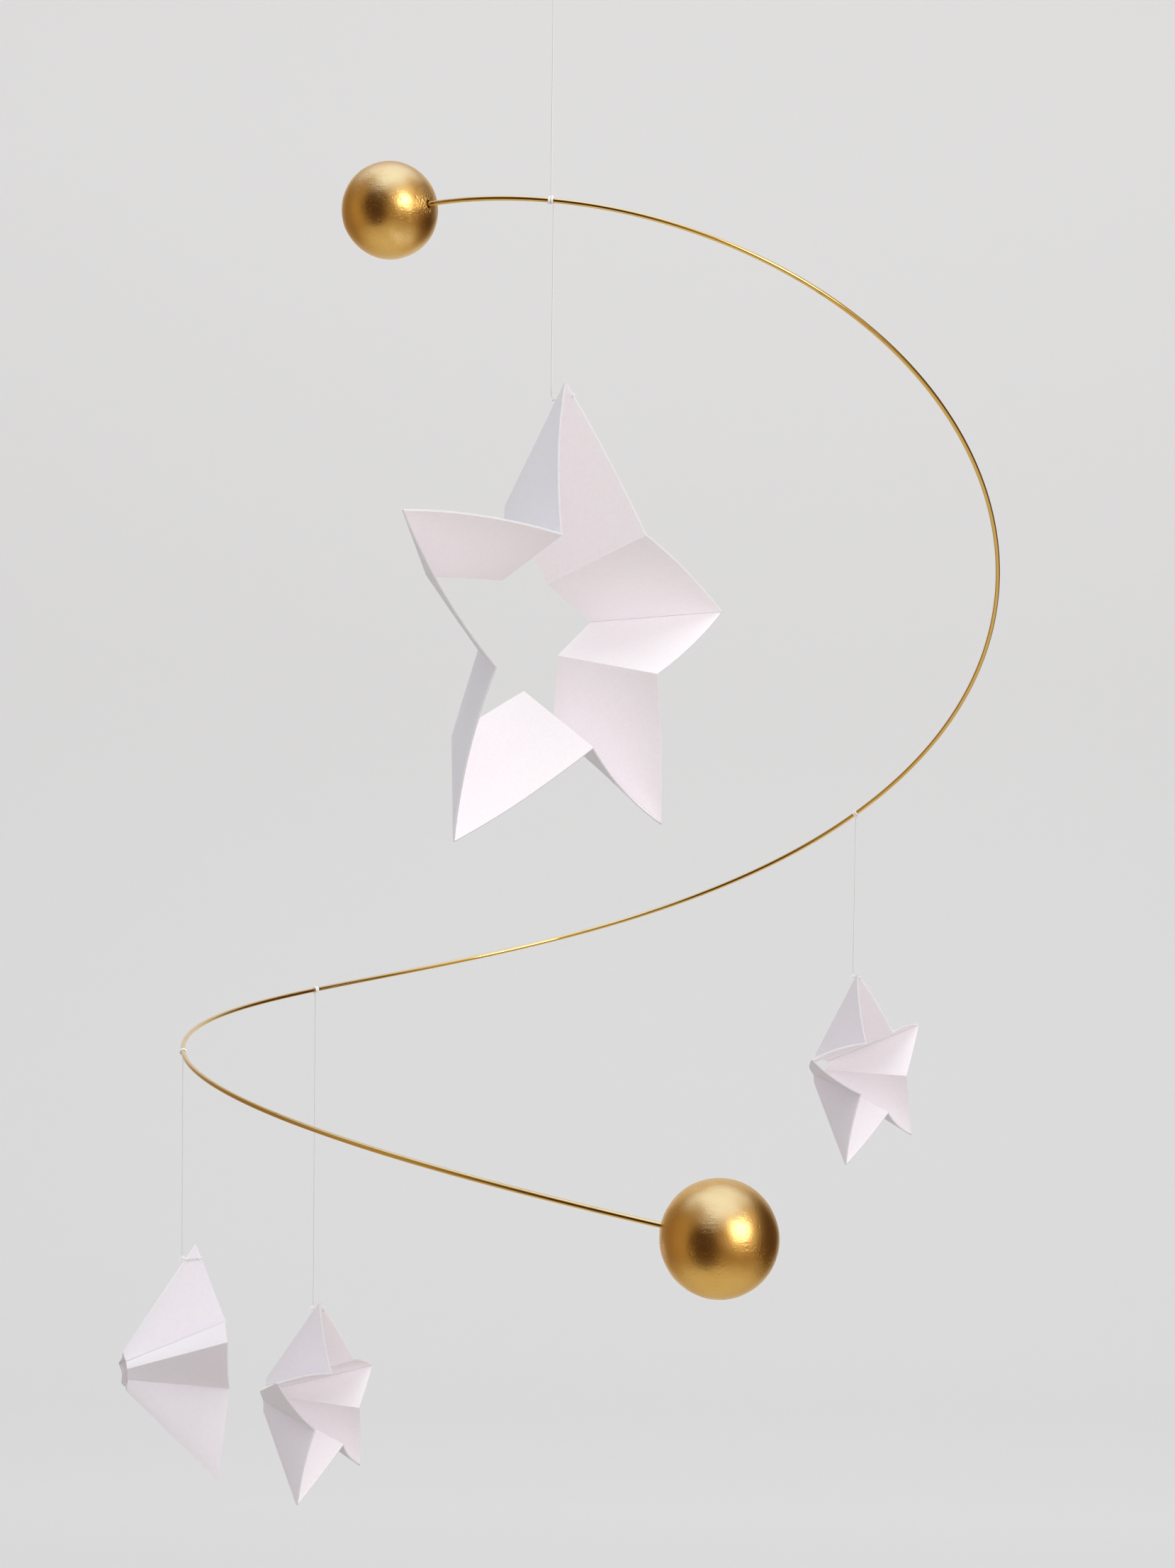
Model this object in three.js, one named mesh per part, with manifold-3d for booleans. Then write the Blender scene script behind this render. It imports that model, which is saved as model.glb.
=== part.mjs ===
// A hanging mobile: a thick brass rod bent into a falling spiral, a gold painted wooden ball on each
// end, one large folded paper star inside the spiral and three small ones below it, all on threads.
// Millimetres, +Z up. The origin is at the top of the hanging loop, and the front is towards -Y.

import * as THREE from 'three';
import { mergeVertices } from 'three/addons/utils/BufferGeometryUtils.js';
import Module from 'manifold-3d';

const wasm = await Module();
wasm.setup();

// Thread
const threadDiameter = 0.45;
const threadSides = 8;
const threadSteps = 16;
const loopSegments = 24;
const knotSegments = 10;
const knotRings = 7;
const threadGap = 0.3;
const knotDiameter = 1.4;
const loopWidth = 6;
const loopHeight = 9;
const hangingThreadLength = 66;
const largeStarThreadLength = 56.9;
const rightStarThreadLength = 58.8;
const middleStarThreadLength = 114;
const leftStarThreadLength = 61.8;

// Bent rod: a smooth curve from the upper ball round to the lower ball. Its control radii are shares
// of its reach, and its control heights are shares of its drop.
const rodDiameter = 1.5;
const rodSides = 8;
const rodSteps = 130;
const rodDivisions = 1200;
const insertShare = 0.01;
const turnStep = 0.05;
const spiralStart = -140.3;
const spiralSweep = 405.3;
const spiralReach = 250;
const radiusShares = [
  0.6, 0.472, 0.388, 0.368, 0.376, 0.402, 0.436, 0.482, 0.548, 0.652, 0.812, 0.964, 1.112,
];
const spiralDrop = 250;
const heightShares = [
  -0.054, 0.024, -0.018, -0.142, -0.346, -0.596, -0.826, -0.976, -1.04, -1.044, -1.046, -1.104, -1.248,
];
const mainTieTurn = 20.2;

// Balls
const ballDiameter = 30;
const ballSides = 22;
const ballRings = 14;
const boreClearance = 0.3;
const boreDepth = 8;
const rodInsertion = 7.5;

// Ties: thread wound on the rod
const tieClearance = 0.15;
const wrapPitch = 0.8;
const tieSides = 12;

// Folded stars: five tips and five notches around an open paper band
const starTips = 5;
const paperThickness = 0.5;
const facetColumns = 3;
const facetRows = 3;
const rimBow = 0.035;
const slopeStep = 0.02;

// How far each fold of the same pattern strays from an even star, from the hung tip round to the left
const foldTurns = [6, -4, -6, 0.5, 4.5, 9, 2.5, -3.5, -12, 2.5];
const foldReaches = [0.98, 0.94, 1.025, 1.07, 1, 1.02, 1.03, 0.96, 0.97, 1.02];
const foldAdvances = [0, 0.026, 0.007, -0.04, -0.026, -0.013, 0.02, 0, -0.007, 0.02];

const largeStarSize = {
  tipReach: 76, notchReach: 35.6, tipSetback: 10.4,
  rearTipReach: 38.5, rearNotchReach: 18.7, rearTipDepth: 36.3, rearNotchDepth: 29.8, rearDrop: 2.5,
};
const smallStarSize = {
  tipReach: 38.3, notchReach: 16.3, tipSetback: 6.1,
  rearTipReach: 6.1, rearNotchReach: 4.2, rearTipDepth: 30.3, rearNotchDepth: 29.9, rearDrop: 0,
};

// Each star's place on the rod and its thread: where the thread leaves the tie along the rod, how far
// aside of the thread its knot lies and how far down the top tip's fold. Then how the star faces:
// heading in plan from +X, lift of its open front and turn of its top tip. Last, how large it was cut
// and its unevenness as a share of the fold pattern above.
const largeStar = {
  name: 'large_star', size: largeStarSize, tieTurn: mainTieTurn, threadLength: largeStarThreadLength,
  lead: 0.8, knotAside: 0.6, knotAlongFold: 0.155,
  heading: -43.3, lift: -3.7, turn: -1, cut: 1, unevenness: 1,
};
const smallStars = [
  { name: 'right_star', size: smallStarSize, tieTurn: 196.6, threadLength: rightStarThreadLength,
    lead: 0, knotAside: 0, knotAlongFold: 0.05,
    heading: -40.5, lift: 4.3, turn: 6.5, cut: 0.98, unevenness: 0.2 },
  { name: 'middle_star', size: smallStarSize, tieTurn: 300, threadLength: middleStarThreadLength,
    lead: 0, knotAside: -0.6, knotAlongFold: 0.1,
    heading: -22.9, lift: 0.8, turn: 0.2, cut: 1, unevenness: 1 },
  { name: 'left_star', size: smallStarSize, tieTurn: 347.4, threadLength: leftStarThreadLength,
    lead: 0, knotAside: 0, knotAlongFold: 0.14,
    heading: 22.6, lift: 3.5, turn: 0.7, cut: 1, unevenness: 0.8 },
];

const threadRadius = threadDiameter / 2;
const knotRadius = knotDiameter / 2;
const rodRadius = rodDiameter / 2;
const ballRadius = ballDiameter / 2;
const boreRadius = rodRadius + boreClearance;
const wrapRadius = rodRadius + tieClearance;

function paint(color, roughness, metalness) {
  return new THREE.MeshStandardMaterial({ color, roughness, metalness });
}

const finishes = {
  brass: paint(0xb98a3e, 0.2, 1),
  goldPaint: paint(0xc79a4b, 0.45, 0.8),
  paper: paint(0xf2eeee, 0.9, 0),
  thread: paint(0xf4f3ef, 0.95, 0),
};

const mobile = new THREE.Group();

function addPiece(name, geometry, finish) {
  const mesh = new THREE.Mesh(geometry, finish);
  mesh.name = name;
  mobile.add(mesh);
  return mesh;
}

// A point on a uniform cubic B-spline through a list of control values, at a share of its length
function smoothValue(values, share) {
  const spans = values.length - 3;
  const along = share * spans;
  const first = Math.min(Math.max(Math.floor(along), 0), spans - 1);
  const w = along - first;
  const weights = [
    (1 - w) ** 3 / 6,
    (3 * w ** 3 - 6 * w ** 2 + 4) / 6,
    (-3 * w ** 3 + 3 * w ** 2 + 3 * w + 1) / 6,
    w ** 3 / 6,
  ];
  return weights.reduce((sum, weight, i) => sum + weight * values[first + i], 0);
}

// The spiral about its own centre, by the angle turned from the upper ball
function spiralPoint(turn) {
  const share = turn / spiralSweep;
  const angle = THREE.MathUtils.degToRad(spiralStart + turn);
  const radius = spiralReach * smoothValue(radiusShares, share);
  const height = spiralDrop * smoothValue(heightShares, share);
  return new THREE.Vector3(radius * Math.cos(angle), radius * Math.sin(angle), height);
}

// The arm hangs with its main tie straight below the loop
const mainTieHeight = -(loopHeight + knotDiameter + hangingThreadLength);
const armOffset = new THREE.Vector3(0, 0, mainTieHeight).sub(spiralPoint(mainTieTurn));
const rodPoint = (turn) => spiralPoint(turn).add(armOffset);

function rodDirection(turn) {
  const ahead = rodPoint(Math.min(turn + turnStep, spiralSweep));
  return ahead.sub(rodPoint(Math.max(turn - turnStep, 0))).normalize();
}

// The rod's centreline: straight inside each ball, on the spiral between them
class RodPath extends THREE.Curve {
  constructor() {
    super();
    this.arcLengthDivisions = rodDivisions;
  }

  getPoint(t, target = new THREE.Vector3()) {
    const share = t * (1 + 2 * insertShare) - insertShare;
    if (share < 0) {
      const inside = rodInsertion * share / insertShare;
      return target.copy(rodPoint(0)).addScaledVector(rodDirection(0), inside);
    }
    if (share > 1) {
      const inside = rodInsertion * (share - 1) / insertShare;
      return target.copy(rodPoint(spiralSweep)).addScaledVector(rodDirection(spiralSweep), inside);
    }
    return target.copy(rodPoint(share * spiralSweep));
  }
}

function roundSection(radius, sides) {
  const corners = [];
  for (let i = 0; i < sides; i += 1) {
    const angle = (2 * Math.PI * i) / sides;
    corners.push(new THREE.Vector2(radius * Math.cos(angle), radius * Math.sin(angle)));
  }
  return new THREE.Shape(corners);
}

function tube(path, radius, sides, steps) {
  return new THREE.ExtrudeGeometry(roundSection(radius, sides), { extrudePath: path, steps });
}

function toManifold(geometry) {
  const plain = geometry.clone();
  plain.deleteAttribute('normal');
  plain.deleteAttribute('uv');
  const merged = mergeVertices(plain, 1e-4);
  return new wasm.Manifold(new wasm.Mesh({
    numProp: 3,
    vertProperties: new Float32Array(merged.attributes.position.array),
    triVerts: new Uint32Array(merged.index.array),
  }));
}

function fromManifold(solid) {
  const mesh = solid.getMesh();
  const geometry = new THREE.BufferGeometry();
  geometry.setAttribute('position', new THREE.BufferAttribute(mesh.vertProperties, mesh.numProp));
  geometry.setIndex(new THREE.BufferAttribute(mesh.triVerts, 1));
  return geometry;
}

function knotBead() {
  return new THREE.SphereGeometry(knotRadius, knotSegments, knotRings);
}

// The loop on a hook and the knot that closes it are one length of thread
function buildHangingLoop() {
  const ringRadius = loopWidth / 2;
  const ring = new THREE.TorusGeometry(ringRadius, threadRadius, threadSides, loopSegments);
  ring.rotateX(Math.PI / 2);
  ring.scale(1, 1, loopHeight / loopWidth);
  ring.translate(0, 0, -loopHeight / 2);
  const knot = knotBead();
  knot.translate(0, 0, -loopHeight);
  addPiece('hanging_loop', fromManifold(toManifold(ring).add(toManifold(knot))), finishes.thread);
}

// A straight thread held taut by what hangs on it
function addThread(name, top, bottom) {
  const path = new THREE.LineCurve3(top, bottom);
  addPiece(name, tube(path, threadRadius, threadSides, threadSteps), finishes.thread);
}

function buildHangingThread() {
  const top = new THREE.Vector3(0, 0, -loopHeight - knotRadius - threadGap);
  const clearOfTie = wrapRadius + threadDiameter + threadGap;
  addThread('hanging_thread', top, new THREE.Vector3(0, 0, mainTieHeight + clearOfTie));
}

// A ball with a blind hole: its profile runs from the far pole to the hole's mouth and down the hole
function buildBall(name, turn, outward) {
  const profile = [];
  const mouthAngle = Math.acos(boreRadius / ballRadius);
  for (let i = 0; i <= ballRings; i += 1) {
    const angle = -Math.PI / 2 + ((Math.PI / 2 + mouthAngle) * i) / ballRings;
    const width = i === 0 ? 0 : ballRadius * Math.cos(angle);
    profile.push(new THREE.Vector2(width, ballRadius * Math.sin(angle)));
  }
  profile.push(new THREE.Vector2(boreRadius, ballRadius - boreDepth));
  profile.push(new THREE.Vector2(0, ballRadius - boreDepth));
  const ball = addPiece(name, new THREE.LatheGeometry(profile, ballSides), finishes.goldPaint);
  const direction = rodDirection(turn).multiplyScalar(outward);
  ball.position.copy(rodPoint(turn)).addScaledVector(direction, ballRadius);
  ball.quaternion.setFromUnitVectors(new THREE.Vector3(0, 1, 0), direction.clone().negate());
}

// Two turns of thread side by side on the rod
function buildTie(name, turn) {
  const outer = wrapRadius + threadDiameter;
  const waist = wrapRadius + threadRadius;
  const halfWidth = wrapPitch / 2 + threadRadius;
  const profile = [
    new THREE.Vector2(wrapRadius, -halfWidth),
    new THREE.Vector2(outer, -halfWidth + threadRadius / 2),
    new THREE.Vector2(outer, -threadRadius / 2),
    new THREE.Vector2(waist, 0),
    new THREE.Vector2(outer, threadRadius / 2),
    new THREE.Vector2(outer, halfWidth - threadRadius / 2),
    new THREE.Vector2(wrapRadius, halfWidth),
    new THREE.Vector2(wrapRadius, -halfWidth),
  ];
  const tie = addPiece(name, new THREE.LatheGeometry(profile, tieSides), finishes.thread);
  tie.position.copy(rodPoint(turn));
  tie.quaternion.setFromUnitVectors(new THREE.Vector3(0, 1, 0), rodDirection(turn));
}

// The folds of a star in its own frame: x to the viewer's right, y up, z out of the open front.
// Each fold runs from a point on the front rim to one on the rear rim, tips and notches in turn.
function starFolds({ size, cut, unevenness }) {
  const folds = [];
  for (let i = 0; i < 2 * starTips; i += 1) {
    const isTip = i % 2 === 0;
    const angle = Math.PI / 2 + (Math.PI * i) / starTips
      + THREE.MathUtils.degToRad(foldTurns[i] * unevenness);
    const stray = 1 + (foldReaches[i] - 1) * unevenness;
    const reach = (isTip ? size.tipReach : size.notchReach) * stray;
    const advance = foldAdvances[i] * unevenness * size.tipReach - (isTip ? size.tipSetback : 0);
    const rearReach = isTip ? size.rearTipReach : size.rearNotchReach;
    const rearDepth = isTip ? size.rearTipDepth : size.rearNotchDepth;
    const front = new THREE.Vector3(reach * Math.cos(angle), reach * Math.sin(angle), advance);
    const rearHeight = rearReach * Math.sin(angle) - size.rearDrop;
    const rear = new THREE.Vector3(rearReach * Math.cos(angle), rearHeight, -rearDepth);
    folds.push({ front: front.multiplyScalar(cut), rear: rear.multiplyScalar(cut) });
  }
  return folds;
}

// The middle of the paper on one facet: across from fold to fold, and back from the front rim
function facetPoint(folds, index, across, back) {
  const a = folds[index];
  const b = folds[(index + 1) % folds.length];
  const front = a.front.clone().lerp(b.front, across);
  const rear = a.rear.clone().lerp(b.rear, across);
  const edge = b.front.clone().sub(a.front);
  const outward = a.rear.clone().sub(a.front).cross(edge).normalize();
  const bow = rimBow * edge.length() * 4 * across * (1 - across) * (1 - back);
  return front.lerp(rear, back).addScaledVector(outward, bow);
}

function facetNormal(folds, index, across, back) {
  const sideways = facetPoint(folds, index, Math.min(across + slopeStep, 1), back)
    .sub(facetPoint(folds, index, Math.max(across - slopeStep, 0), back));
  const backward = facetPoint(folds, index, across, Math.min(back + slopeStep, 1))
    .sub(facetPoint(folds, index, across, Math.max(back - slopeStep, 0)));
  return sideways.cross(backward).normalize();
}

// How far and which way the paper's two faces lie from its middle, mitred where two facets meet
function paperOffset(folds, index, column, back) {
  const normal = facetNormal(folds, index, column / facetColumns, back);
  if (column > 0) {
    return normal.multiplyScalar(paperThickness / 2);
  }
  const before = (index + folds.length - 1) % folds.length;
  const other = facetNormal(folds, before, 1, back);
  const spread = 1 + normal.dot(other);
  return normal.add(other).multiplyScalar(paperThickness / 2 / spread);
}

// A folded band of paper with a front rim and a rear rim, closed all round
function foldedStar(folds) {
  const around = folds.length * facetColumns;
  const rows = facetRows + 1;
  const positions = [];
  for (const side of [1, -1]) {
    for (let row = 0; row < rows; row += 1) {
      for (let i = 0; i < around; i += 1) {
        const index = Math.floor(i / facetColumns);
        const column = i % facetColumns;
        const back = row / facetRows;
        const point = facetPoint(folds, index, column / facetColumns, back);
        point.addScaledVector(paperOffset(folds, index, column, back), side);
        positions.push(point.x, point.y, point.z);
      }
    }
  }
  const vertex = (face, row, i) => (face * rows + row) * around + (i % around);
  const indices = [];
  const quad = (a, b, c, d) => indices.push(a, b, c, a, c, d);
  for (let i = 0; i < around; i += 1) {
    for (let row = 0; row < facetRows; row += 1) {
      quad(vertex(0, row, i), vertex(0, row, i + 1), vertex(0, row + 1, i + 1), vertex(0, row + 1, i));
      quad(vertex(1, row, i), vertex(1, row + 1, i), vertex(1, row + 1, i + 1), vertex(1, row, i + 1));
    }
    quad(vertex(0, 0, i), vertex(1, 0, i), vertex(1, 0, i + 1), vertex(0, 0, i + 1));
    quad(vertex(0, facetRows, i), vertex(0, facetRows, i + 1),
      vertex(1, facetRows, i + 1), vertex(1, facetRows, i));
  }
  const geometry = new THREE.BufferGeometry();
  geometry.setAttribute('position', new THREE.Float32BufferAttribute(positions, 3));
  geometry.setIndex(indices);
  return geometry;
}

// The turn that takes a star's own frame into the mobile's
function starTurn(heading, lift, turn) {
  const headingAngle = THREE.MathUtils.degToRad(heading);
  const liftAngle = THREE.MathUtils.degToRad(lift);
  const facing = new THREE.Vector3(
    Math.cos(liftAngle) * Math.cos(headingAngle),
    Math.cos(liftAngle) * Math.sin(headingAngle),
    Math.sin(liftAngle),
  );
  const right = new THREE.Vector3(0, 0, 1).cross(facing).normalize();
  const up = facing.clone().cross(right);
  const frame = new THREE.Matrix4().makeBasis(right, up, facing);
  const level = new THREE.Quaternion().setFromRotationMatrix(frame);
  const spin = new THREE.Quaternion().setFromAxisAngle(
    new THREE.Vector3(0, 0, 1),
    THREE.MathUtils.degToRad(turn),
  );
  return level.multiply(spin);
}

// A star hangs from a knot that sits on its top tip's fold, below its tie
function buildStar(star) {
  const top = rodPoint(star.tieTurn).addScaledVector(rodDirection(star.tieTurn), star.lead);
  top.z -= wrapRadius + threadDiameter + threadGap;
  const bottom = top.clone();
  bottom.z -= star.threadLength;
  addThread(`${star.name}_thread`, top, bottom);

  const knotCentre = bottom.clone();
  knotCentre.x += star.knotAside;
  knotCentre.z -= threadGap + knotRadius;
  const knot = addPiece(`${star.name}_knot`, knotBead(), finishes.thread);
  knot.position.copy(knotCentre);

  const folds = starFolds(star);
  const tipFold = folds[0];
  const along = tipFold.rear.clone().sub(tipFold.front);
  const sideways = folds[1].front.clone().sub(folds[folds.length - 1].front);
  const outward = along.clone().cross(sideways).normalize();
  const mitre = paperOffset(folds, 0, 0, star.knotAlongFold).length();
  const hangPoint = tipFold.front.clone().addScaledVector(along, star.knotAlongFold)
    .addScaledVector(outward, mitre + threadGap + knotRadius);
  const paper = addPiece(star.name, foldedStar(folds), finishes.paper);
  paper.quaternion.copy(starTurn(star.heading, star.lift, star.turn));
  paper.position.copy(knotCentre).sub(hangPoint.applyQuaternion(paper.quaternion));
}

buildHangingLoop();
buildHangingThread();
addPiece('spiral_wire', tube(new RodPath(), rodRadius, rodSides, rodSteps), finishes.brass);
buildBall('upper_ball', 0, -1);
buildBall('lower_ball', spiralSweep, 1);
buildTie('main_tie', mainTieTurn);
for (const star of smallStars) {
  buildTie(star.name.replace('star', 'tie'), star.tieTurn);
}
buildStar(largeStar);
smallStars.forEach(buildStar);

export default mobile;
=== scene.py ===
"""Hanging mobile: a bent brass rod with two gold painted balls and four folded paper stars on threads."""

import logging
import math
from collections.abc import Sequence
from dataclasses import dataclass, field
from enum import Enum

import bmesh
import bpy
from mathutils import Matrix, Quaternion, Vector, noise

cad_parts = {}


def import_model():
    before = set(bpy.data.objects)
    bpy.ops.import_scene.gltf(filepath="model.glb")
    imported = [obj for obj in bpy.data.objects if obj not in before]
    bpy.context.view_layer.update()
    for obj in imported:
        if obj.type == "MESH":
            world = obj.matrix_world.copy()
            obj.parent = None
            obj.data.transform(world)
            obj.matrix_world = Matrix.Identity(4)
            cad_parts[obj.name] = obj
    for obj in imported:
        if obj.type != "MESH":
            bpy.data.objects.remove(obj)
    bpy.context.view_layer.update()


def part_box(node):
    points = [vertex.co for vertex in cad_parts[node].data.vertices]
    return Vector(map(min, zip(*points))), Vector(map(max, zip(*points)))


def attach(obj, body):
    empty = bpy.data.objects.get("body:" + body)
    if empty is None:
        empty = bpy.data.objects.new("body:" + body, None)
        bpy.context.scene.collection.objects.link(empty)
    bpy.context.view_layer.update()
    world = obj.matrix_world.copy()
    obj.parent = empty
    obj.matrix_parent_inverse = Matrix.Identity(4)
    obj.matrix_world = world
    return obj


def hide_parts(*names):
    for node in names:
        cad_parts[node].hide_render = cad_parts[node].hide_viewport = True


log = logging.getLogger("mobile")

BMesh = bmesh.types.BMesh
BMVert = bmesh.types.BMVert
BMEdge = bmesh.types.BMEdge
Material = bpy.types.Material
Piece = bpy.types.Object
Socket = bpy.types.NodeSocket

MM = 0.001

PHOTO_HEIGHT = 2212
FOCAL_PIXELS = 3680
SENSOR_MM = 36.0
CAMERA_PLACE = Vector((13.1, -795.0, -210.9)) * MM
CAMERA_PITCH_DEG = -3.0
CAMERA_ROLL_DEG = 0.7

ROD_RADIUS = 0.75 * MM
THREAD_RADIUS = 0.225 * MM
BALL_RADIUS = 15.0 * MM
PAPER_THICKNESS = 0.5 * MM
STRAIGHT_UP = Vector((0, 0, 1))


class Slot(Enum):
    """The material slots."""

    BRASS = "brass"
    GOLD_PAINT = "gold_paint"
    PAPER = "paper"
    THREAD = "thread"


class Side(Enum):
    """Which end of the rod a ball sits on: -1 is the upper end and 1 the lower."""

    UPPER = -1
    LOWER = 1


@dataclass(frozen=True)
class Spiral:
    """The bent rod's course: a smooth curve through a few control radii and heights.

    Attributes:
        start_deg: Angle in plan at the upper ball, from +X.
        sweep_deg: Angle turned from the upper ball round to the lower one.
        radii_mm: Control radii from the upper end to the lower.
        heights_mm: Control heights from the upper end to the lower.
        main_tie_deg: Angle turned at the tie that holds the whole mobile.
    """

    start_deg: float = -140.3
    sweep_deg: float = 405.3
    radii_mm: tuple[float, ...] = (150, 118, 97, 92, 94, 100.5, 109, 120.5, 137, 163, 203, 241, 278)
    heights_mm: tuple[float, ...] = (
        -13.5, 6, -4.5, -35.5, -86.5, -149, -206.5, -244, -260, -261, -261.5, -276, -312,
    )
    main_tie_deg: float = 20.2

    @staticmethod
    def smooth_value(values: Sequence[float], share: float) -> float:
        """Gives a uniform cubic B-spline's value.

        Args:
            values: The control values.
            share: How far along the curve, from 0 to 1.

        Returns:
            The curve's value there.
        """
        spans = len(values) - 3
        along = share * spans
        first = min(max(math.floor(along), 0), spans - 1)
        w = along - first
        weights = (
            (1 - w) ** 3 / 6,
            (3 * w**3 - 6 * w**2 + 4) / 6,
            (-3 * w**3 + 3 * w**2 + 3 * w + 1) / 6,
            w**3 / 6,
        )
        return sum(weight * values[first + i] for i, weight in enumerate(weights))

    def own_point(self, turned_deg: float) -> Vector:
        """Gives a point about the spiral's own centre.

        Args:
            turned_deg: Angle turned from the upper ball.

        Returns:
            The point in metres.
        """
        share = turned_deg / self.sweep_deg
        angle = math.radians(self.start_deg + turned_deg)
        radius = self.smooth_value(self.radii_mm, share)
        height = self.smooth_value(self.heights_mm, share)
        return Vector((radius * math.cos(angle), radius * math.sin(angle), height)) * MM

    def point(self, turned_deg: float) -> Vector:
        """Gives a point on the rod's centreline in the mobile's frame, set from where the main tie is."""
        return self.own_point(turned_deg) - self.own_point(self.main_tie_deg) + middle_of("main_tie")

    def direction(self, turned_deg: float) -> Vector:
        """Gives the rod's direction, from the upper ball towards the lower.

        Args:
            turned_deg: Angle turned from the upper ball.

        Returns:
            A unit vector.
        """
        step = 0.05
        ahead = self.point(min(turned_deg + step, self.sweep_deg))
        return (ahead - self.point(max(turned_deg - step, 0.0))).normalized()


def middle_of(node: str) -> Vector:
    """Gives the middle of a node's box."""
    low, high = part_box(node)
    return (Vector(low) + Vector(high)) / 2


def facing(heading_deg: float, lift_deg: float) -> Vector:
    """Gives a unit vector that points at a heading in plan, from +X, and is lifted by an angle."""
    heading, lift = math.radians(heading_deg), math.radians(lift_deg)
    return Vector((math.cos(lift) * math.cos(heading), math.cos(lift) * math.sin(heading), math.sin(lift)))


def extruded(bm: BMesh, edges: Sequence[BMEdge]) -> tuple[list[BMVert], list[BMEdge]]:
    """Extrudes edges without moving them.

    Args:
        bm: Their mesh.
        edges: The edges.

    Returns:
        The new corner points and the new edges.
    """
    made = bmesh.ops.extrude_edge_only(bm, edges=edges)["geom"]
    verts = [part for part in made if isinstance(part, BMVert)]
    return verts, [part for part in made if isinstance(part, BMEdge)]


def scene_object(name: str, bm: BMesh) -> Piece:
    """Makes a smooth scene object of a bmesh.

    Args:
        name: The object's name.
        bm: The mesh, freed here.

    Returns:
        The new object, at the origin.
    """
    for face in bm.faces:
        face.smooth = True
    mesh = bpy.data.meshes.new(name)
    bm.to_mesh(mesh)
    bm.free()
    made = bpy.data.objects.new(name, mesh)
    bpy.context.scene.collection.objects.link(made)
    return made


def dress(piece: Piece, material: Material) -> None:
    """Puts one material on a piece."""
    piece.data.materials.clear()
    piece.data.materials.append(material)


def settle(piece: Piece, node: str, body: str, material: Material) -> None:
    """Gives a piece its body, its finish and the solid that it stands for.

    Args:
        piece: The piece.
        node: The solid that it stands for.
        body: The body that it moves with.
        material: Its finish.
    """
    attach(piece, body)
    dress(piece, material)
    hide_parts(node)


def add_piece(name: str, bm: BMesh, node: str, body: str, material: Material) -> Piece:
    """Makes a finished piece of a closed bmesh.

    Args:
        name: The piece's name.
        bm: The mesh, freed here.
        node: The solid that it stands for.
        body: The body that it moves with.
        material: Its finish.

    Returns:
        The new piece, at the origin.
    """
    bmesh.ops.recalc_face_normals(bm, faces=bm.faces[:])
    piece = scene_object(name, bm)
    settle(piece, node, body, material)
    return piece


@dataclass
class Section:
    """The cross-section of a round or twisted strand.

    Attributes:
        radius: Radius in metres.
        sides: Corners round the section.
        plies: Strands twisted together, or 0 for a plain round.
        ply_depth: How deep the groove between two plies is, as a share of the radius.
        twist_pitch: Length in which the plies turn once, in metres.
    """

    radius: float
    sides: int = 12
    plies: int = 0
    ply_depth: float = 0.3
    twist_pitch: float = 1.5 * MM

    def swept(self, bm: BMesh, course: Sequence[Vector], taper: float = 1.0) -> None:
        """Adds a closed strand along a course of points.

        Args:
            bm: The mesh that it is added to.
            course: The centreline's points in metres.
            taper: Share of the radius at both ends.
        """
        ring = bmesh.ops.create_circle(bm, cap_ends=False, segments=self.sides, radius=self.radius)["verts"]
        for i, corner in enumerate(ring):
            if self.plies:
                lobe = abs(math.cos(self.plies * math.pi * i / self.sides))
                corner.co *= 1 - self.ply_depth * (1 - lobe)
        frames = self.frames(course, taper)
        bmesh.ops.transform(bm, matrix=frames[0], verts=ring)
        first_edges = [edge for edge in bm.edges if edge.verts[0] in ring and edge.verts[1] in ring]
        edges = first_edges
        for before, after in zip(frames, frames[1:]):
            moved, edges = extruded(bm, edges)
            bmesh.ops.transform(bm, matrix=after @ before.inverted(), verts=moved)
        for end in (first_edges, edges):
            bmesh.ops.edgeloop_fill(bm, edges=end)

    def frames(self, course: Sequence[Vector], taper: float) -> list[Matrix]:
        """Gives a turning frame at each point of a course, with no spin of its own but the twist.

        Args:
            course: The centreline's points in metres.
            taper: Share of the radius at both ends.

        Returns:
            One matrix for each point.
        """
        directions = []
        for i in range(len(course)):
            ahead = course[min(i + 1, len(course) - 1)]
            directions.append((ahead - course[max(i - 1, 0)]).normalized())
        turn = STRAIGHT_UP.rotation_difference(directions[0])
        travelled = 0.0
        frames = []
        for i, place in enumerate(course):
            if i:
                turn = directions[i - 1].rotation_difference(directions[i]) @ turn
                travelled += (place - course[i - 1]).length
            spin = Quaternion(STRAIGHT_UP, math.tau * travelled / self.twist_pitch if self.plies else 0.0)
            scale = taper if i in (0, len(course) - 1) else 1.0
            frames.append(Matrix.LocRotScale(place, turn @ spin, (scale, scale, 1.0)))
        return frames


def thread_section(share: float = 1.0, sides: int = 10, ply_depth: float = 0.3) -> Section:
    """Gives the section of three-ply thread, at a share of its full thickness."""
    return Section(THREAD_RADIUS * share, sides=sides, plies=3, ply_depth=ply_depth)


def steps_from(place: Vector, *steps_mm: tuple[float, float, float]) -> list[Vector]:
    """Gives a place, and the points that lie at some steps from it in millimetres."""
    return [place] + [place + Vector(step) * MM for step in steps_mm]


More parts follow.
